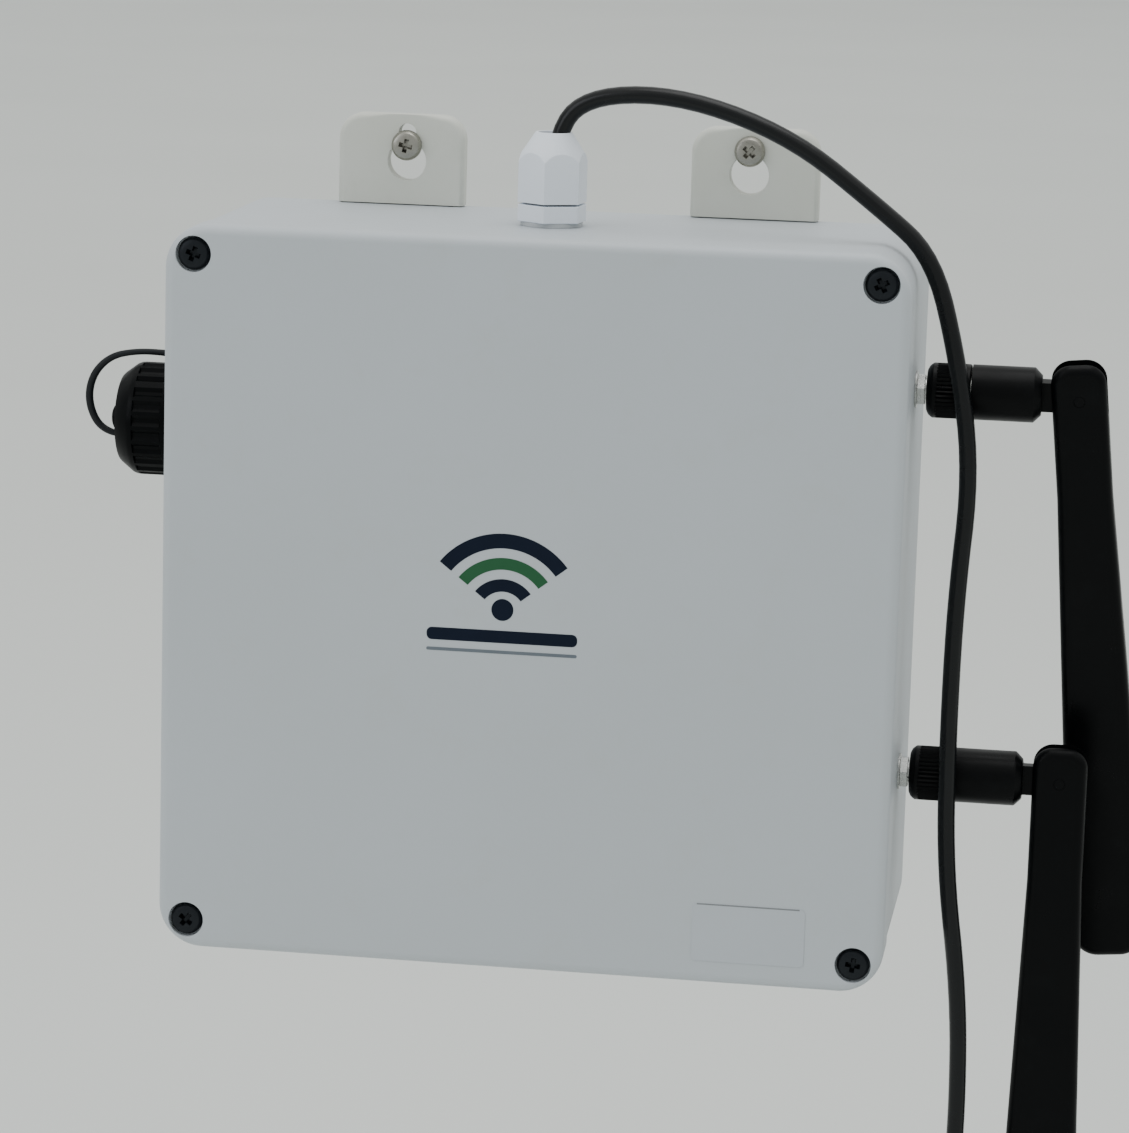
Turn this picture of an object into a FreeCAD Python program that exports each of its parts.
import FreeCAD, Part
import math
import os

# Outdoor cellular signal booster: a wall box with two paddle antennas, a power lead and a data port.
# Frame: +X right and +Z up as seen from the front, +Y into the wall. The origin is on the wall
# face, midway between the round parts of the two keyholes that the box hangs from. Millimetres.

V = FreeCAD.Vector
X_AXIS, Y_AXIS, Z_AXIS = V(1, 0, 0), V(0, 1, 0), V(0, 0, 1)

# ---- enclosure
BOX_W = 200.0            # lid, across
BOX_H = 200.0            # lid, tall
BOX_D = 80.0             # wall face to the front of the lid
CORNER_R = 12.0          # corners of the lid in front view
LID_D = 14.0             # depth of the lid's rim
LID_OVERHANG = 0.5       # lid beyond the base on each side
LID_EDGE_R = 2.8         # rounded front edge
LID_SKIN = 3.0           # front panel of the lid
WALL = 2.5               # side walls and back of the base
RIM_W = 9.5              # width of the flange that the lid closes on
RIM_D = 8.0              # depth of that flange
BOX_DROP = 12.0          # from the keyhole line down to the lid's top edge

# ---- lid screws and seal
LID_SCREW_INSET = 8.0    # screw centre from each lid edge
LID_SCREW_R = 1.95
LID_SCREW_LEN = 27.0
LID_HEAD_R = 4.5
LID_HEAD_H = 2.3
LID_HEAD_SEAT = 2.4      # depth of the counterbore
POST_R = 6.5             # screw posts in the base
SEAL_INSET = 5.0         # outer face of the seal tongue from the lid's edge
SEAL_W = 2.0
TONGUE_H = 2.5
SEAL_T = 2.0
SEAL_CORNER_R = 26.0
SEAL_GAP = 0.7           # side clearance of the groove
FIT_GAP = 0.1            # clearance of pieces that only pass through
END_ROOM = 0.5           # free depth beyond the end of a short screw
AT_FACE = 0.01           # how near an edge lies to the face that it belongs to

# ---- mounting ears
EAR_W = 36.0
EAR_TOP = 13.0           # above the keyhole line
EAR_T = 5.0
EAR_CORNER_R = 7.0
EAR_OFFSET = 1.6         # ear centre outside the keyhole centre
EAR_GAP = 0.3            # under the ear, above the box
EAR_FOOT_W = 24.0        # foot let into the back of the base
EAR_FOOT_H = 18.0
EAR_FOOT_T = 2.4
EAR_FOOT_GAP = 0.2       # beside and below the foot
EAR_PAD_T = 4.5          # pad inside the base behind each foot
EAR_PAD_RIM = 3.0
EAR_SCREW_R = 1.5
EAR_SCREW_HEAD_R = 3.2
EAR_SCREW_HEAD_H = 1.2
EAR_SCREW_LEN = 5.0
EAR_CROSS_LEN, EAR_CROSS_W = 3.6, 0.9    # cross recess of the ear screws
KEYHOLE_SPACING = 97.0
KEYHOLE_R = 5.5
SLOT_R = 2.5
SLOT_RISE = 8.0          # centre of the slot's top above the round hole

# ---- fittings on the walls
FITTING_Y = -40.0        # every wall fitting lies on this depth
ARM_HEIGHTS = {"upper": 59.4, "lower": -47.1}   # above the box centre
PORT_HEIGHT = 40.6
GLAND_X = -1.5

# ---- antennas
SMA_R = 3.15             # threaded barrel
SMA_OUT = 11.0           # barrel beyond the wall
SMA_IN = 13.0            # connector inside the wall
SMA_HOLE_GAP = 0.15
SMA_NUT_WALL = 0.85      # least metal between the thread and a nut's flats
SMA_WASHER_W = 1.85
ARM_START = 3.2          # coupling nut's end from the wall
ARM_R = 7.5
COUPLER_LEN = 11.8
THREAD_GAP = 0.1
LIP_T = 1.0              # lip that keeps the coupling nut on the antenna
PLUG_FLANGE_R = 5.1
NECK_R = 4.0             # swivel neck
NECK_LEN = 9.6
SWIVEL_GAP = 0.05
SLEEVE_GAP = 0.3
SLEEVE_LEN = 18.8
SLEEVE_CHAMFER = 2.0
PIN_OUT = 10.2           # hinge pin from the sleeve's end
TONGUE_T = 4.0
KNUCKLE_R = 4.1
PIN_R = 1.55
PIN_GAP = 0.05
FORK_GAP = 0.3           # beside and below the tongue
BLADE_LEN = 165.0
BLADE_ROOT = 9.8         # blade above the pin
BLADE_NECK_W = 15.0
BLADE_W = 20.0
BLADE_T = 9.0
BLADE_NECK_LEN = 28.0
BLADE_FLARE_END = 110.0
BLADE_EDGE_R = 2.6
SWIVEL_REST = {"upper": 10.0, "lower": 0.0}     # degrees back from hanging plumb
FOLD_REST = {"upper": 5.5, "lower": 0.0}        # degrees outwards from hanging plumb

# ---- cable gland
GLAND_AF = 17.0          # across the flats of body and dome nut
GLAND_LOCK_WALL = 1.3    # least material of the locknut around the thread
GLAND_THREAD_R = 6.2
GLAND_TURN = 25.0        # a flat's normal, degrees right of straight ahead
GLAND_WASHER_T = 1.2
GLAND_FLANGE_H = 4.7
GLAND_NECK_R = 7.2
GLAND_NECK_H = 9.0
NUT_GAP = 0.5            # joint line between flange and dome nut
NUT_HEX_H = 13.0
NUT_DOME_H = 6.0
NUT_MOUTH_R = 5.0
NUT_MOUTH_WALL = 0.7
CORD_R = 2.4

# ---- data port
PORT_BODY_R = 12.0
PORT_THREAD_R = 12.5
PORT_BORE_R = 9.0
PORT_FLANGE_R = 15.5
PORT_GASKET_T = 1.2
PORT_FLANGE_T = 2.5
PORT_OUT = 18.0          # end of the thread from the wall
PORT_NUT_WALL = 2.5
PORT_IN = 16.0
CAP_R = 15.7
CAP_START = 5.7
CAP_END = 20.9           # cap's end face from the wall
CAP_SKIN = 2.2
CAP_CHAMFER_L = 4.2
CAP_CHAMFER_R = 3.2
EYELET_R = 6.4
EYELET_T = 1.5
RIVET_R = 2.0
RIVET_GAP = 0.3
RIVET_HEAD_R = 3.3
RIVET_HEAD_T = 1.5
STRAP_R = 0.75
COLLAR_W = 2.2
TAB_W = 5.0
TAB_RISE = 19.6          # top of the collar's tab above the port's axis

# ---- inside
PLATE_MARGIN = 25.0
PLATE_T = 1.5
PLATE_LIFT = 5.0
PLATE_HOLE_INSET = 6.0
BOARD_MARGIN_X = 6.0
BOARD_MARGIN_Z = 20.0
BOARD_T = 1.6
BOARD_LIFT = 8.0
BOARD_HOLE_INSET = 5.0
POWER_INSET = 17.0       # supply parts' centre below the board's top edge
M3_R = 1.25
M3_HOLE_R = 1.35
M3_HEAD_R = 2.8
M3_HEAD_H = 2.0

DUPLEXER_X = 38.0
DUPLEXER_HALF = 9.0
DUPLEXER_H = 9.0
DUPLEXER_Z = {"upper": 16.0, "lower": -16.0}    # from the box centre
COAX_R = 1.1
# along a coax jumper: shares of the way across, back and down
COAX_SHAPE = [(0, 0, 0), (0.24, 0.01, 0.03), (0.46, 0.12, 0.17), (0.6, 0.35, 0.4),
              (0.67, 0.65, 0.66), (0.8, 0.93, 0.93), (1, 1, 1)]

# ---- label, cord, coil and plug
LABEL_W, LABEL_H, LABEL_T = 30.5, 16.0, 0.2
LABEL_RIGHT, LABEL_BOTTOM = 21.3, 6.5
CORD_ROUTE = [
    V(-1.5, -40.0, -2.0), V(-1.2, -40.0, 13.5), V(8.5, -41.0, 23.5), V(34.0, -44.5, 24.5),
    V(64.0, -48.5, 15.0), V(88.0, -51.0, -2.5), V(103.5, -52.0, -15.0), V(111.0, -52.0, -42.0),
    V(116.3, -52.3, -72.0), V(113.6, -52.0, -108.0), V(113.3, -52.3, -148.0),
    V(114.2, -52.0, -183.0), V(119.5, -52.0, -218.0), V(120.7, -52.2, -251.0),
    V(119.7, -52.1, -280.0), V(120.0, -52.0, -304.0),
]
INNER_ROUTE = [
    V(10.0, -23.6, -70.0), V(10.2, -24.2, -58.0), V(6.8, -29.5, -46.5), V(0.8, -36.4, -36.5),
    V(-1.9, -39.7, -24.5), V(-1.65, -40.1, -13.0), V(-1.5, -40.0, -2.0),
]
TAIL_ROUTE = [V(115.2, -56.8, -304.0), V(114.7, -56.7, -321.0), V(115.3, -56.4, -338.0)]
# along the strap: distance out from the left wall, height above the port's axis
STRAP_ROUTE = [(4.9, 18.2), (11.1, 18.7), (18.1, 18.6), (25.1, 17.0), (30.1, 12.0),
               (31.7, 5.0), (29.4, -1.8), (25.1, -4.7), (21.9, -5.0)]
COIL_R = 27.5            # middle of the turns
COIL_LAYERS = 2          # side by side, outwards
COIL_ROWS = 4            # one in front of another
COIL_SLACK = 0.1
TIE_W = 6.0
TIE_T = 1.0
TIE_ANGLE = 118.0        # degrees from +X, anticlockwise in front view
PLUG_RELIEF_LEN = 18.0
PLUG_BODY_LEN = 22.0
PLUG_BODY_R = 5.0
PLUG_R = 2.75            # 5.5 mm barrel
PLUG_LEN = 9.5

# ---- positions worked out from the sizes above
BASE_W = BOX_W - 2 * LID_OVERHANG
BASE_H = BOX_H - 2 * LID_OVERHANG
BASE_D = BOX_D - LID_D
BASE_R = CORNER_R - LID_OVERHANG
CENTRE_Z = -(BOX_DROP + BOX_H / 2)
BASE_TOP = CENTRE_Z + BASE_H / 2
WALL_X = BASE_W / 2
SCREW_X = BOX_W / 2 - LID_SCREW_INSET
SCREW_Z = BOX_H / 2 - LID_SCREW_INSET
PLATE_W = BOX_W - 2 * PLATE_MARGIN
PLATE_H = BOX_H - 2 * PLATE_MARGIN
PLATE_Y = -(WALL + PLATE_LIFT)
BOARD_W = PLATE_W - 2 * BOARD_MARGIN_X
BOARD_H = PLATE_H - 2 * BOARD_MARGIN_Z
BOARD_Y = PLATE_Y - PLATE_T - BOARD_LIFT
BOARD_FRONT = BOARD_Y - BOARD_T

parts = {}


def union(shapes):
    """Fuse a list of solids into one clean shape."""
    result = shapes[0]
    if len(shapes) > 1:
        result = result.multiFuse(shapes[1:])
    return result.removeSplitter()


def cylinder(radius, start, end):
    """A round bar from one point to another."""
    return Part.makeCylinder(radius, (end - start).Length, start, end - start)


def rod_x(radius, x_start, x_end, z, y=FITTING_Y):
    return cylinder(radius, V(x_start, y, z), V(x_end, y, z))


def rod_y(radius, y_start, y_end, x, z):
    return cylinder(radius, V(x, y_start, z), V(x, y_end, z))


def rod_z(radius, z_start, z_end, x, y=FITTING_Y):
    return cylinder(radius, V(x, y, z_start), V(x, y, z_end))


def ring_x(outer, inner, x_start, x_end, z):
    return rod_x(outer, x_start, x_end, z).cut(rod_x(inner, x_start, x_end, z))


def box(x_size, y_size, z_size, centre):
    corner = centre - V(x_size / 2, y_size / 2, z_size / 2)
    return Part.makeBox(x_size, y_size, z_size, corner)


def hexagon(across_flats, height, base, direction, turn=0.0):
    """A hexagonal prism; turn is the angle of a corner about its axis."""
    corner_r = across_flats / math.sqrt(3)
    points = [V(corner_r * math.cos(math.radians(turn + 60 * i)),
                corner_r * math.sin(math.radians(turn + 60 * i)), 0) for i in range(7)]
    prism = Part.Face(Part.makePolygon(points)).extrude(V(0, 0, height))
    prism.Placement = FreeCAD.Placement(base, FreeCAD.Rotation(Z_AXIS, direction))
    return prism


def corner_arc(centre_x, centre_z, radius, start_deg):
    """A quarter circle in front view, anticlockwise from start_deg."""
    points = [V(centre_x + radius * math.cos(math.radians(start_deg + step)), 0,
                centre_z + radius * math.sin(math.radians(start_deg + step))) for step in (0, 45, 90)]
    return Part.Arc(*points).toShape()


def rounded_face(width, height, radius, centre_x, centre_z, y):
    """A rectangle with round corners, facing the front, at depth y."""
    half_x, half_z = width / 2 - radius, height / 2 - radius
    arcs = [corner_arc(centre_x + sx * half_x, centre_z + sz * half_z, radius, start)
            for sx, sz, start in ((1, 1, 0), (-1, 1, 90), (-1, -1, 180), (1, -1, 270))]
    edges = []
    for index, arc in enumerate(arcs):
        following = arcs[(index + 1) % 4]
        edges += [arc, Part.makeLine(arc.Vertexes[-1].Point, following.Vertexes[0].Point)]
    face = Part.Face(Part.Wire(edges))
    face.translate(V(0, y, 0))
    return face


def rounded_prism(width, height, radius, y_rear, y_front, centre_x=0.0, centre_z=CENTRE_Z):
    face = rounded_face(width, height, radius, centre_x, centre_z, y_rear)
    return face.extrude(V(0, y_front - y_rear, 0))


def corners(x, z, centre_z=CENTRE_Z):
    """Four points placed symmetrically about the box centre."""
    return [(sx * x, centre_z + sz * z) for sx in (-1, 1) for sz in (-1, 1)]


def fillet_at(shape, radius, wanted):
    """Round the edges that the test accepts."""
    return shape.makeFillet(radius, [edge for edge in shape.Edges if wanted(edge)])


def seal_ring(side_gap, y_rear, y_front):
    """A ring on the seal's line, wider than the seal by side_gap on each face."""
    outer_w = BOX_W - 2 * SEAL_INSET + 2 * side_gap
    outer_h = BOX_H - 2 * SEAL_INSET + 2 * side_gap
    outer_r = SEAL_CORNER_R + side_gap
    thick = SEAL_W + 2 * side_gap
    outer = rounded_prism(outer_w, outer_h, outer_r, y_rear, y_front)
    inner = rounded_prism(outer_w - 2 * thick, outer_h - 2 * thick, outer_r - thick, y_rear, y_front)
    return outer.cut(inner)


def cord_path(points):
    """Straight runs joined by tangent arcs; returns the wire, its length and the arc radii."""
    edges, radii, start = [], [], points[0]
    for before, point, after in zip(points, points[1:], points[2:]):
        arriving, leaving = point - before, after - point
        turn = arriving.getAngle(leaving)
        run = 0.45 * min(arriving.Length, leaving.Length)
        radii.append(run / math.tan(turn / 2))
        arriving.normalize()
        leaving.normalize()
        arc_start, arc_end = point - arriving * run, point + leaving * run
        bisector = leaving - arriving
        bisector.normalize()
        sagitta = radii[-1] * (1 / math.cos(turn / 2) - 1)
        edges.append(Part.LineSegment(start, arc_start).toShape())
        edges.append(Part.Arc(arc_start, point + bisector * sagitta, arc_end).toShape())
        start = arc_end
    edges.append(Part.LineSegment(start, points[-1]).toShape())
    wire = Part.Wire(edges)
    return wire, wire.Length, radii


def tube(points, radius, name):
    """A solid cord along a route; prints its length, radii and volume check."""
    wire, length, radii = cord_path(points)
    section = Part.Wire(Part.makeCircle(radius, points[0], points[1] - points[0]))
    solid = wire.makePipeShell([section], True, False)
    ratio = solid.Volume / (math.pi * radius ** 2 * length)
    print(name, "length %.1f mm, volume / (section x length) %.4f" % (length, ratio))
    print("  radii", " ".join("%.1f" % value for value in radii))
    return solid


# ---- two mounting ears, each with a foot screwed into the back of the base
def ear_centre_x(side):
    return side * (KEYHOLE_SPACING / 2 + EAR_OFFSET)


def make_ear(side):
    centre_x = ear_centre_x(side)
    bottom = BASE_TOP + EAR_GAP
    height = EAR_TOP - bottom
    plate = box(EAR_W, EAR_T, height, V(centre_x, -EAR_T / 2, bottom + height / 2))
    plate = fillet_at(plate, EAR_CORNER_R, lambda edge: edge.BoundBox.YLength > EAR_T / 2
                      and edge.BoundBox.ZMin > EAR_TOP - AT_FACE)
    foot_top = bottom + height / 4
    foot_bottom = BASE_TOP - EAR_FOOT_H
    foot = box(EAR_FOOT_W, EAR_FOOT_T, foot_top - foot_bottom,
               V(centre_x, -EAR_FOOT_T / 2, (foot_top + foot_bottom) / 2))
    key_x = side * KEYHOLE_SPACING / 2
    slot = box(2 * SLOT_R, 2 * EAR_T, SLOT_RISE, V(key_x, -EAR_T / 2, SLOT_RISE / 2))
    keyhole = union([rod_y(KEYHOLE_R, -1.5 * EAR_T, EAR_T / 2, key_x, 0), slot,
                     rod_y(SLOT_R, -1.5 * EAR_T, EAR_T / 2, key_x, SLOT_RISE)])
    screw_z = BASE_TOP - EAR_FOOT_H / 2
    seat = -EAR_SCREW_HEAD_H
    ear = union([plate, foot]).cut(keyhole)
    ear = ear.cut(rod_y(EAR_SCREW_R + FIT_GAP, 0, -EAR_FOOT_T, centre_x, screw_z))
    return ear.cut(rod_y(EAR_SCREW_HEAD_R + FIT_GAP, 0, seat, centre_x, screw_z))


def make_ear_screw(side):
    x, z = ear_centre_x(side), BASE_TOP - EAR_FOOT_H / 2
    head = rod_y(EAR_SCREW_HEAD_R, -EAR_SCREW_HEAD_H, -0.1, x, z)
    for width, height in ((EAR_CROSS_LEN, EAR_CROSS_W), (EAR_CROSS_W, EAR_CROSS_LEN)):
        head = head.cut(box(width, EAR_SCREW_HEAD_H, height, V(x, 0, z)))
    return union([head, rod_y(EAR_SCREW_R, -0.75 * EAR_SCREW_HEAD_H, -EAR_SCREW_LEN, x, z)])


def ear_pad(side):
    """A thickening inside the back of the base behind one ear's foot."""
    top = BASE_TOP - WALL / 2
    bottom = top - EAR_FOOT_H - EAR_PAD_RIM
    rear = -WALL + AT_FACE
    front = rear - EAR_PAD_T
    return box(EAR_FOOT_W + 2 * EAR_PAD_RIM, rear - front, top - bottom,
               V(ear_centre_x(side), (rear + front) / 2, (top + bottom) / 2))


def ear_pocket(side):
    """The open-topped pocket that one ear's foot lies in, and its screw hole."""
    x = ear_centre_x(side)
    top, bottom = BASE_TOP + WALL, BASE_TOP - EAR_FOOT_H - EAR_FOOT_GAP
    pocket = box(EAR_FOOT_W + 2 * EAR_FOOT_GAP, 2 * EAR_FOOT_T, top - bottom, V(x, 0, (top + bottom) / 2))
    hole = rod_y(EAR_SCREW_R + FIT_GAP, 0, -EAR_SCREW_LEN - END_ROOM, x, BASE_TOP - EAR_FOOT_H / 2)
    return pocket.fuse(hole)


parts["left_ear"] = make_ear(-1)
parts["right_ear"] = make_ear(1)
parts["ear_screws"] = Part.makeCompound([make_ear_screw(-1), make_ear_screw(1)])


# ---- base: one moulding with its posts, flange and seal tongue
def make_base():
    outer = rounded_prism(BASE_W, BASE_H, BASE_R, 0, -BASE_D)
    cavity = rounded_prism(BASE_W - 2 * WALL, BASE_H - 2 * WALL, BASE_R - WALL, -WALL, -BASE_D)
    shell = outer.cut(cavity)
    posts = [rod_y(POST_R, -WALL / 2, -BASE_D, x, z) for x, z in corners(SCREW_X, SCREW_Z)]
    flange = rounded_prism(BASE_W, BASE_H, BASE_R, -(BASE_D - RIM_D), -BASE_D).cut(
        rounded_prism(BOX_W - 2 * RIM_W, BOX_H - 2 * RIM_W, SEAL_CORNER_R - SEAL_W,
                      -(BASE_D - RIM_D), -BASE_D))
    inside = union([flange] + posts).common(outer)
    tongue = seal_ring(0, -BASE_D + WALL / 2, -(BASE_D + TONGUE_H))
    plate_x, plate_z = PLATE_W / 2 - PLATE_HOLE_INSET, PLATE_H / 2 - PLATE_HOLE_INSET
    bosses = [rod_y(4.0, -WALL / 2, PLATE_Y, x, z) for x, z in corners(plate_x, plate_z)]
    pads = [ear_pad(side).common(outer) for side in (-1, 1)]
    body = union([shell, inside, tongue] + bosses + pads)
    screw_hole = LID_SCREW_LEN - (LID_D - LID_HEAD_SEAT) + 2.0
    holes = [rod_y(LID_SCREW_R + FIT_GAP, -BASE_D - TONGUE_H, -BASE_D + screw_hole, x, z)
             for x, z in corners(SCREW_X, SCREW_Z)]
    holes += [rod_y(M3_HOLE_R, -WALL, PLATE_Y, x, z) for x, z in corners(plate_x, plate_z)]
    for height in ARM_HEIGHTS.values():
        holes.append(rod_x(SMA_R + SMA_HOLE_GAP, WALL_X - 2 * WALL, WALL_X + WALL, CENTRE_Z + height))
    holes.append(rod_x(PORT_BODY_R + FIT_GAP, -WALL_X - WALL, -WALL_X + 2 * WALL, CENTRE_Z + PORT_HEIGHT))
    holes.append(rod_z(GLAND_THREAD_R + FIT_GAP, BASE_TOP - 2 * WALL, BASE_TOP + WALL, GLAND_X))
    holes += [ear_pocket(side) for side in (-1, 1)]
    for hole in holes:
        body = body.cut(hole)
    return body


parts["base_shell"] = make_base()


# ---- lid with its seal and four screws
def make_lid():
    front = -BOX_D
    outer = rounded_prism(BOX_W, BOX_H, CORNER_R, -BASE_D, front)
    outer = fillet_at(outer, LID_EDGE_R, lambda edge: edge.BoundBox.YMax < front + AT_FACE)
    pocket = rounded_prism(BOX_W - 2 * RIM_W, BOX_H - 2 * RIM_W, SEAL_CORNER_R - SEAL_W,
                           -BASE_D, front + LID_SKIN)
    groove = seal_ring(SEAL_GAP, -BASE_D, -(BASE_D + TONGUE_H + SEAL_T))
    lid = outer.cut(pocket).cut(groove)
    for x, z in corners(SCREW_X, SCREW_Z):
        lid = lid.cut(rod_y(LID_SCREW_R + 2 * FIT_GAP, -BASE_D, front, x, z))
        lid = lid.cut(rod_y(LID_HEAD_R + 0.4, front + LID_HEAD_SEAT, front, x, z))
    return lid


def make_lid_screw(x, z):
    seat = -BOX_D + LID_HEAD_SEAT
    head = rod_y(LID_HEAD_R, seat, seat - LID_HEAD_H, x, z)
    head = fillet_at(head, 1.0, lambda edge: edge.BoundBox.YMax < seat - LID_HEAD_H + AT_FACE)
    cross_y = seat - LID_HEAD_H
    for width, height in ((5.4, 1.1), (1.1, 5.4)):
        head = head.cut(box(width, 2.6, height, V(x, cross_y, z)))
    shank = rod_y(LID_SCREW_R, seat + LID_SCREW_LEN, seat - LID_HEAD_H / 4, x, z)
    return union([head, shank])


parts["lid_cover"] = make_lid()
parts["lid_gasket"] = seal_ring(SEAL_GAP / 2, -(BASE_D + TONGUE_H), -(BASE_D + TONGUE_H + SEAL_T))
parts["lid_screws"] = Part.makeCompound([make_lid_screw(x, z) for x, z in corners(SCREW_X, SCREW_Z)])
label_centre = V(BOX_W / 2 - LABEL_RIGHT - LABEL_W / 2, -BOX_D - LABEL_T / 2,
                 CENTRE_Z - BOX_H / 2 + LABEL_BOTTOM + LABEL_H / 2)
parts["blank_label"] = box(LABEL_W, LABEL_T, LABEL_H, label_centre)


# ---- inside: steel plate, circuit board and what it carries
def m3_screw(x, z, seat, length):
    head = rod_y(M3_HEAD_R, seat, seat - M3_HEAD_H, x, z)
    return union([head, rod_y(M3_R, seat + length, seat - M3_HEAD_H / 2, x, z)])


def on_board(x_size, z_size, height, x, z):
    """A block standing on the board, placed from the box centre."""
    return box(x_size, height, z_size, V(x, BOARD_FRONT - height / 2, CENTRE_Z + z))


def make_inside():
    plate_x, plate_z = PLATE_W / 2 - PLATE_HOLE_INSET, PLATE_H / 2 - PLATE_HOLE_INSET
    board_x, board_z = BOARD_W / 2 - BOARD_HOLE_INSET, BOARD_H / 2 - BOARD_HOLE_INSET
    plate = rounded_prism(PLATE_W, PLATE_H, 4.0, PLATE_Y, PLATE_Y - PLATE_T)
    for x, z in corners(plate_x, plate_z):
        plate = plate.cut(rod_y(M3_R + 2 * FIT_GAP, PLATE_Y, PLATE_Y - PLATE_T, x, z))
    parts["mounting_plate"] = plate
    parts["plate_screws"] = Part.makeCompound(
        [m3_screw(x, z, PLATE_Y - PLATE_T, PLATE_T + PLATE_LIFT - 0.5) for x, z in corners(plate_x, plate_z)])
    board = rounded_prism(BOARD_W, BOARD_H, 3.0, BOARD_Y, BOARD_FRONT)
    for x, z in corners(board_x, board_z):
        board = board.cut(rod_y(M3_R + 2 * FIT_GAP, BOARD_Y, BOARD_FRONT, x, z))
    parts["main_board"] = board
    parts["board_standoffs"] = Part.makeCompound(
        [rod_y(3.0, PLATE_Y - PLATE_T, BOARD_Y, x, z).cut(
            rod_y(M3_HOLE_R, PLATE_Y - PLATE_T, BOARD_Y, x, z)) for x, z in corners(board_x, board_z)])
    parts["board_screws"] = Part.makeCompound(
        [m3_screw(x, z, BOARD_FRONT, BOARD_T + BOARD_LIFT - 1.0) for x, z in corners(board_x, board_z)])
    parts["uplink_shield"] = on_board(34, 24, 6, -22, 16)
    parts["downlink_shield"] = on_board(34, 24, 6, -22, -16)
    parts["duplexer_blocks"] = Part.makeCompound(
        [on_board(2 * DUPLEXER_HALF, 12, DUPLEXER_H, DUPLEXER_X, z) for z in DUPLEXER_Z.values()])
    power_z = BOARD_H / 2 - POWER_INSET
    parts["power_module"] = on_board(26, 16, 12, -14, power_z)
    parts["terminal_block"] = on_board(12, 8, 10, 10, power_z)
    base = on_board(22, 56, 3, 10, 0)
    fins = [on_board(1.5, 56, 15, 10 + step * 4.1, 0) for step in range(-2, 3)]
    parts["amplifier_heatsink"] = union([base] + fins)


make_inside()


# ---- antennas: bulkhead connector, coupling nut, swivel sleeve, hinge and blade
def blade_outline(pin_x, pin_z, y):
    """Front outline of a hanging blade, clockwise from the root's left shoulder."""
    neck, wide, tip_r, root_r = BLADE_NECK_W / 2, BLADE_W / 2, 7.0, 5.5
    top, bottom = pin_z + BLADE_ROOT, pin_z - BLADE_LEN

    def at(x, z):
        return V(pin_x + x, y, z)

    def arc(centre_x, centre_z, radius, start, stop):
        points = [at(centre_x + radius * math.cos(math.radians(angle)),
                     centre_z + radius * math.sin(math.radians(angle)))
                  for angle in (start, (start + stop) / 2, stop)]
        return Part.Arc(*points).toShape()

    pieces = [
        arc(-neck + root_r, top - root_r, root_r, 180, 90),
        Part.makeLine(at(-neck + root_r, top), at(neck - root_r, top)),
        arc(neck - root_r, top - root_r, root_r, 90, 0),
        Part.makeLine(at(neck, top - root_r), at(neck, pin_z - BLADE_NECK_LEN)),
        Part.makeLine(at(neck, pin_z - BLADE_NECK_LEN), at(wide, pin_z - BLADE_FLARE_END)),
        Part.makeLine(at(wide, pin_z - BLADE_FLARE_END), at(wide, bottom + tip_r)),
        arc(wide - tip_r, bottom + tip_r, tip_r, 0, -90),
        Part.makeLine(at(wide - tip_r, bottom), at(-wide + tip_r, bottom)),
        arc(-wide + tip_r, bottom + tip_r, tip_r, -90, -180),
        Part.makeLine(at(-wide, bottom + tip_r), at(-wide, pin_z - BLADE_FLARE_END)),
        Part.makeLine(at(-wide, pin_z - BLADE_FLARE_END), at(-neck, pin_z - BLADE_NECK_LEN)),
        Part.makeLine(at(-neck, pin_z - BLADE_NECK_LEN), at(-neck, top - root_r)),
    ]
    return Part.Face(Part.Wire(pieces))


def make_blade(pin_x, pin_z):
    front, rear = FITTING_Y - BLADE_T / 2, FITTING_Y + BLADE_T / 2
    blade = blade_outline(pin_x, pin_z, rear).extrude(V(0, front - rear, 0))
    blade = fillet_at(blade, BLADE_EDGE_R, lambda edge: edge.BoundBox.YLength < AT_FACE)
    slot_bottom = pin_z - KNUCKLE_R - FORK_GAP
    slot_height = pin_z + BLADE_ROOT - slot_bottom + 1.0
    slot = box(BLADE_NECK_W + 2.0, TONGUE_T + 2 * FORK_GAP, slot_height,
               V(pin_x, FITTING_Y, slot_bottom + slot_height / 2))
    return blade.cut(slot).cut(rod_y(PIN_R, rear + 1, front - 1, pin_x, pin_z))


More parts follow.
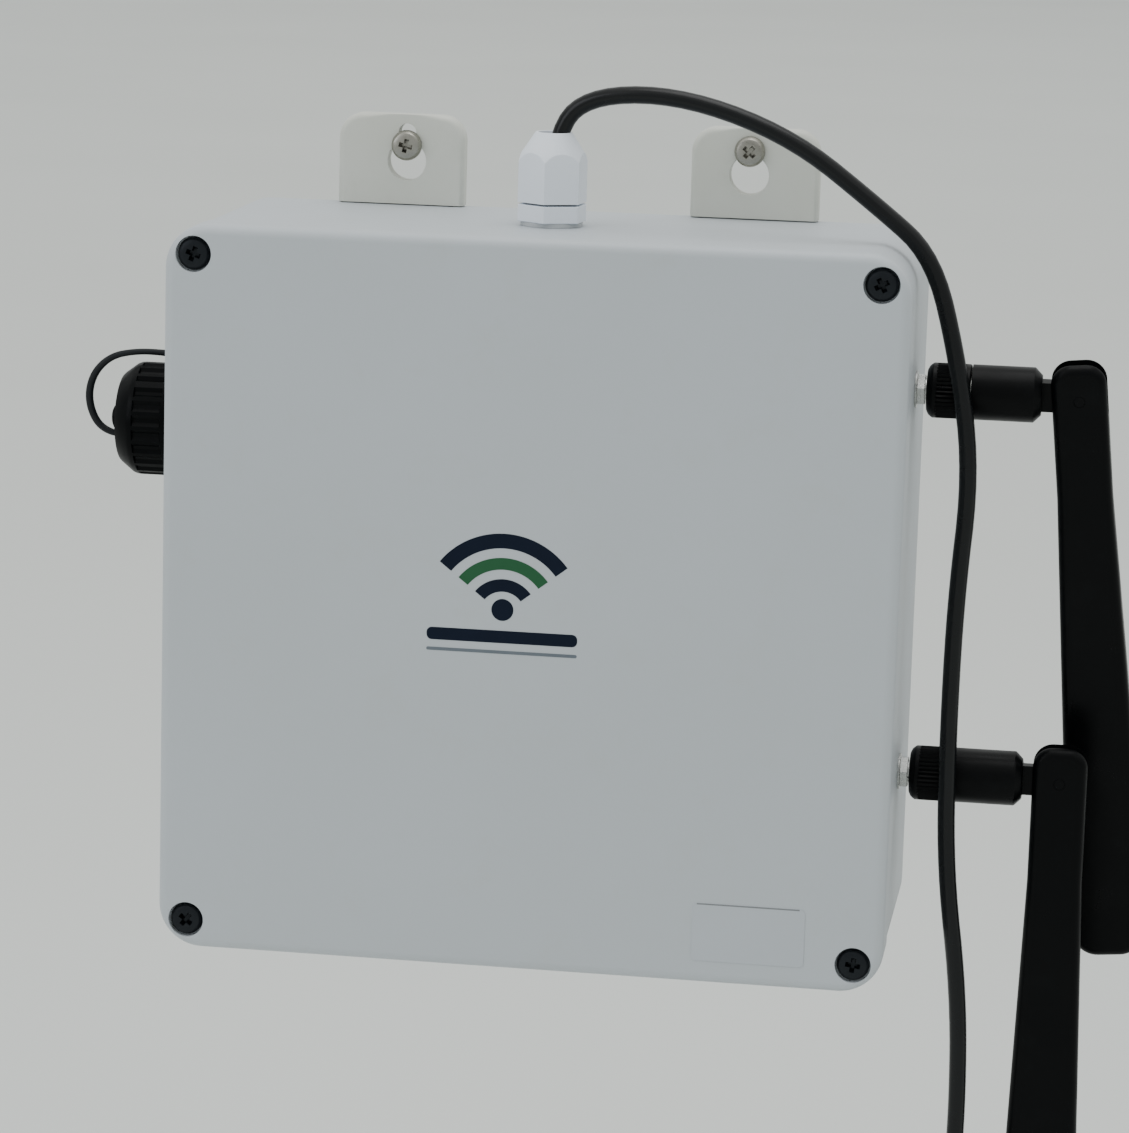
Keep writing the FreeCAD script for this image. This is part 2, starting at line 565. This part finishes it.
def make_antenna(name):
    z = CENTRE_Z + ARM_HEIGHTS[name]
    inner_wall = WALL_X - WALL
    barrel_end = WALL_X + SMA_OUT
    coupler_start = WALL_X + ARM_START
    coupler_end = coupler_start + COUPLER_LEN
    sleeve_start = coupler_end + SLEEVE_GAP
    sleeve_end = sleeve_start + SLEEVE_LEN
    pin_x = sleeve_end + PIN_OUT

    flange = hexagon(2 * (SMA_R + SMA_WASHER_W + 0.5), 2.5, V(inner_wall - 3.5, FITTING_Y, z), X_AXIS)
    barrel = rod_x(SMA_R, inner_wall - 4.0, barrel_end, z)
    tail = rod_x(2.5, WALL_X - SMA_IN, inner_wall - 3.4, z)
    socket = rod_x(1.2, barrel_end - 4.0, barrel_end, z)
    parts[name + "_bulkhead"] = union([flange, barrel, tail]).cut(socket)
    parts[name + "_bulkhead_seal"] = ring_x(SMA_R + SMA_WASHER_W + 0.2, SMA_R + FIT_GAP,
                                            inner_wall - 1.0, inner_wall, z)
    parts[name + "_bulkhead_washer"] = ring_x(SMA_R + SMA_WASHER_W, SMA_R + FIT_GAP, WALL_X, WALL_X + 0.6, z)
    nut = hexagon(2 * (SMA_R + SMA_NUT_WALL), 2.1, V(WALL_X + 0.6, FITTING_Y, z), X_AXIS, 20)
    parts[name + "_bulkhead_nut"] = nut.cut(rod_x(SMA_R, WALL_X, WALL_X + 3.0, z))

    flange_start = barrel_end + 0.4
    flange_end = coupler_end - LIP_T - 0.2
    plug = union([rod_x(PLUG_FLANGE_R, flange_start, flange_end, z),
                  rod_x(NECK_R, flange_end - 0.5, coupler_end + NECK_LEN, z)])
    parts[name + "_plug"] = union([plug, rod_x(0.6, barrel_end - 3.5, flange_start + 0.5, z)])

    coupler = rod_x(ARM_R, coupler_start, coupler_end, z)
    coupler = fillet_at(coupler, 1.6, lambda edge: edge.BoundBox.XMax < coupler_start + AT_FACE)
    coupler = coupler.cut(rod_x(SMA_R + THREAD_GAP, coupler_start, coupler_end, z))
    coupler = coupler.cut(rod_x(NECK_R + THREAD_GAP, barrel_end, coupler_end, z))
    parts[name + "_coupler"] = coupler.cut(
        rod_x(PLUG_FLANGE_R + THREAD_GAP, barrel_end + 0.2, coupler_end - LIP_T, z))

    sleeve = rod_x(ARM_R, sleeve_start, sleeve_end, z)
    sleeve = sleeve.makeChamfer(SLEEVE_CHAMFER, [edge for edge in sleeve.Edges
                                                 if edge.BoundBox.XMin > sleeve_end - 0.01])
    tongue = union([box(PIN_OUT + 2.0, TONGUE_T, 2 * KNUCKLE_R, V(pin_x - PIN_OUT / 2 - 1.0, FITTING_Y, z)),
                    rod_y(KNUCKLE_R, FITTING_Y - TONGUE_T / 2, FITTING_Y + TONGUE_T / 2, pin_x, z)])
    sleeve = union([sleeve, tongue])
    sleeve = sleeve.cut(rod_x(NECK_R + SWIVEL_GAP, sleeve_start, coupler_end + NECK_LEN + 0.5, z))
    sleeve = sleeve.cut(rod_y(PIN_R + PIN_GAP, FITTING_Y - TONGUE_T, FITTING_Y + TONGUE_T, pin_x, z))
    blade = make_blade(pin_x, z)
    pin = rod_y(PIN_R, FITTING_Y - BLADE_T / 2, FITTING_Y + BLADE_T / 2, pin_x, z)

    start = V(WALL_X - SMA_IN, FITTING_Y, z)
    end = V(DUPLEXER_X + DUPLEXER_HALF, BOARD_FRONT - DUPLEXER_H / 2, CENTRE_Z + DUPLEXER_Z[name])
    way = end - start
    route = [start + V(way.x * across, way.y * back, way.z * down) for across, back, down in COAX_SHAPE]
    parts[name + "_coax"] = tube(route, COAX_R, name + "_coax")

    axis_point = V(pin_x, FITTING_Y, z)
    for moving in (blade, pin):
        moving.rotate(axis_point, -Y_AXIS, FOLD_REST[name])
    for moving in (sleeve, blade, pin):
        moving.rotate(axis_point, X_AXIS, SWIVEL_REST[name])
    parts[name + "_sleeve"] = sleeve
    parts[name + "_blade"] = blade
    parts[name + "_hinge_pin"] = pin
    print(name, "swivel axis z %.2f, hinge pin x %.2f" % (z, pin_x))


for antenna in ARM_HEIGHTS:
    make_antenna(antenna)


# ---- cable gland on the top wall
def make_gland():
    top = BASE_TOP
    flange_base = top + GLAND_WASHER_T
    flange_top = flange_base + GLAND_FLANGE_H
    nut_base = flange_top + NUT_GAP
    nut_top = nut_base + NUT_HEX_H
    mouth = nut_top + NUT_DOME_H
    neck_top = flange_top + GLAND_NECK_H
    flat = GLAND_TURN - 90.0 + 30.0
    parts["gland_washer"] = rod_z(GLAND_AF / 2, top, flange_base, GLAND_X).cut(
        rod_z(GLAND_THREAD_R + FIT_GAP, top, flange_base, GLAND_X))
    flange = hexagon(GLAND_AF, GLAND_FLANGE_H, V(GLAND_X, FITTING_Y, flange_base), Z_AXIS, flat)
    body = union([flange, rod_z(GLAND_THREAD_R, top - 11.0, flange_base + 1.0, GLAND_X),
                  rod_z(GLAND_NECK_R, flange_base + 1.0, neck_top, GLAND_X)])
    parts["gland_body"] = body.cut(rod_z(CORD_R + 0.6, top - 12.0, flange_top, GLAND_X)).cut(
        rod_z(5.4, flange_top - 1.0, neck_top, GLAND_X))
    locknut = hexagon(2 * (GLAND_THREAD_R + GLAND_LOCK_WALL), 3.5,
                      V(GLAND_X, FITTING_Y, top - WALL - 3.5), Z_AXIS, flat)
    parts["gland_locknut"] = locknut.cut(rod_z(GLAND_THREAD_R, top - 8.0, top, GLAND_X))
    parts["gland_seal"] = rod_z(5.3, flange_top - 1.0, neck_top + 0.8, GLAND_X).cut(
        rod_z(CORD_R + 0.15, flange_top - 1.0, neck_top + 0.8, GLAND_X))
    dome = Part.makeCone(GLAND_AF / 2, NUT_MOUTH_R, NUT_DOME_H, V(GLAND_X, FITTING_Y, nut_top), Z_AXIS)
    nut = hexagon(GLAND_AF, NUT_HEX_H + NUT_DOME_H, V(GLAND_X, FITTING_Y, nut_base), Z_AXIS, flat)
    rounder = Part.makeCone(GLAND_AF / math.sqrt(3) + NUT_DOME_H * 0.9, GLAND_AF / math.sqrt(3) - 0.9,
                            NUT_HEX_H, V(GLAND_X, FITTING_Y, nut_base), Z_AXIS)
    dome_limit = Part.makeCone(GLAND_AF / math.sqrt(3) - 0.9, NUT_MOUTH_R, NUT_DOME_H,
                               V(GLAND_X, FITTING_Y, nut_top), Z_AXIS)
    nut = nut.common(rounder.fuse(dome_limit)).fuse(dome)
    hollow = rod_z(GLAND_NECK_R + FIT_GAP, nut_base, neck_top + 1.2, GLAND_X)
    throat = rod_z(CORD_R + 0.8, nut_base, mouth, GLAND_X)
    flare = Part.makeCone(CORD_R + 0.8, NUT_MOUTH_R - NUT_MOUTH_WALL, NUT_DOME_H,
                          V(GLAND_X, FITTING_Y, nut_top), Z_AXIS)
    parts["gland_dome_nut"] = nut.cut(hollow).cut(throat).cut(flare).removeSplitter()


make_gland()


# ---- data port on the left wall with its screw cap and strap
def make_port():
    z = CENTRE_Z + PORT_HEIGHT

    def at(distance):
        """X of a point this far out from the left wall."""
        return -WALL_X - distance

    flange_end = PORT_GASKET_T + PORT_FLANGE_T
    parts["port_gasket"] = ring_x(PORT_FLANGE_R, PORT_BODY_R + FIT_GAP, at(0), at(PORT_GASKET_T), z)
    socket = union([rod_x(PORT_BODY_R, at(-PORT_IN), at(PORT_GASKET_T + 1.0), z),
                    rod_x(PORT_FLANGE_R, at(PORT_GASKET_T), at(flange_end), z),
                    rod_x(PORT_THREAD_R, at(flange_end), at(PORT_OUT), z)])
    parts["port_socket"] = socket.cut(rod_x(PORT_BORE_R, at(-PORT_IN), at(PORT_OUT), z))
    nut = hexagon(2 * (PORT_BODY_R + PORT_NUT_WALL), 4.0, V(at(-WALL), FITTING_Y, z), X_AXIS)
    parts["port_locknut"] = nut.cut(rod_x(PORT_BODY_R, at(-WALL), at(-WALL - 4.0), z))
    insert = rod_x(PORT_BORE_R - FIT_GAP, at(-PORT_IN), at(PORT_OUT - 6.0), z)
    parts["port_insert"] = insert.cut(box(13.0, 11.7, 8.2, V(at(PORT_OUT - 12.0), FITTING_Y, z)))

    cap = rod_x(CAP_R, at(CAP_START), at(CAP_END - CAP_CHAMFER_L), z)
    nose = Part.makeCone(CAP_R, CAP_R - CAP_CHAMFER_R, CAP_CHAMFER_L,
                         V(at(CAP_END - CAP_CHAMFER_L), FITTING_Y, z), -X_AXIS)
    cap = cap.fuse(nose).cut(rod_x(PORT_THREAD_R + THREAD_GAP, at(CAP_START), at(CAP_END - CAP_SKIN), z))
    head_start = CAP_END + EYELET_T + RIVET_GAP
    rivet = union([rod_x(RIVET_R, at(CAP_END - 0.5), at(head_start), z),
                   rod_x(RIVET_HEAD_R, at(head_start), at(head_start + RIVET_HEAD_T), z)])
    parts["port_cap"] = union([cap, rivet])
    parts["cap_seal"] = ring_x(PORT_THREAD_R - 0.1, PORT_BORE_R, at(PORT_OUT), at(CAP_END - CAP_SKIN), z)

    eyelet = ring_x(EYELET_R, RIVET_R + RIVET_GAP, at(CAP_END + 0.15), at(CAP_END + EYELET_T), z)
    collar_x, collar_t = at((flange_end + CAP_START) / 2), CAP_START - flange_end - 0.4
    ring = rod_x(PORT_THREAD_R + COLLAR_W, collar_x - collar_t / 2, collar_x + collar_t / 2, z)
    tab = box(collar_t, TAB_W, TAB_RISE, V(collar_x, FITTING_Y, z + TAB_RISE / 2))
    hole = rod_x(PORT_THREAD_R + FIT_GAP, collar_x - collar_t, collar_x + collar_t, z)
    strap = tube([V(at(out), FITTING_Y, z + rise) for out, rise in STRAP_ROUTE], STRAP_R, "cap_strap")
    parts["cap_strap"] = union([union([ring, tab]).cut(hole), eyelet, strap])


make_port()


# ---- power lead: tube, stored coil, tail and barrel plug
def make_cord():
    parts["power_cord"] = tube(CORD_ROUTE, CORD_R, "power_cord")
    parts["inner_lead"] = tube(INNER_ROUTE, CORD_R, "inner_lead")
    parts["cord_tail"] = tube(TAIL_ROUTE, CORD_R, "cord_tail")
    coil_end = CORD_ROUTE[-1]
    half_w = COIL_LAYERS * CORD_R + COIL_SLACK
    half_d = COIL_ROWS * CORD_R + COIL_SLACK
    middle_x = coil_end.x - COIL_R - (COIL_LAYERS - 1) * CORD_R
    middle_y = coil_end.y + (COIL_ROWS - 1) * CORD_R
    centre = V(middle_x, middle_y, coil_end.z)
    rear = centre + V(0, half_d, 0)
    coil = Part.makeCylinder(COIL_R + half_w, 2 * half_d, rear, -Y_AXIS).cut(
        Part.makeCylinder(COIL_R - half_w, 2 * half_d, rear, -Y_AXIS))
    parts["cord_coil"] = fillet_at(coil, 0.75 * CORD_R, lambda edge: edge.BoundBox.YLength < AT_FACE)
    spoke = V(math.cos(math.radians(TIE_ANGLE)), 0, math.sin(math.radians(TIE_ANGLE)))
    tie_centre = centre + spoke * COIL_R
    tie = box(2 * (half_w + TIE_T) + 1.0, 2 * (half_d + TIE_T), TIE_W, V(0, 0, 0))
    tie.Placement = FreeCAD.Placement(tie_centre, FreeCAD.Rotation(-Y_AXIS, TIE_ANGLE))
    parts["cord_tie"] = tie.cut(parts["cord_coil"])

    relief_start = TAIL_ROUTE[-1]
    down = TAIL_ROUTE[-1] - TAIL_ROUTE[-2]
    down.normalize()
    body_start = relief_start + down * PLUG_RELIEF_LEN
    body_end = body_start + down * PLUG_BODY_LEN
    parts["plug_relief"] = Part.makeCone(CORD_R + 0.3, PLUG_BODY_R - 0.8, PLUG_RELIEF_LEN, relief_start, down)
    body = Part.makeCylinder(PLUG_BODY_R, PLUG_BODY_LEN, body_start, down)
    parts["plug_body"] = body.makeFillet(1.2, [edge for edge in body.Edges if len(edge.Vertexes) == 1])
    barrel = Part.makeCylinder(PLUG_R, PLUG_LEN, body_end, down)
    parts["plug_barrel"] = barrel.cut(Part.makeCylinder(1.05, PLUG_LEN, body_end + down * 1.0, down))


make_cord()

os.makedirs("parts", exist_ok=True)
for name, shape in parts.items():
    shape.exportStep("parts/%s.step" % name)
    if not shape.isValid():
        print("invalid", name)
print(len(parts), "nodes")
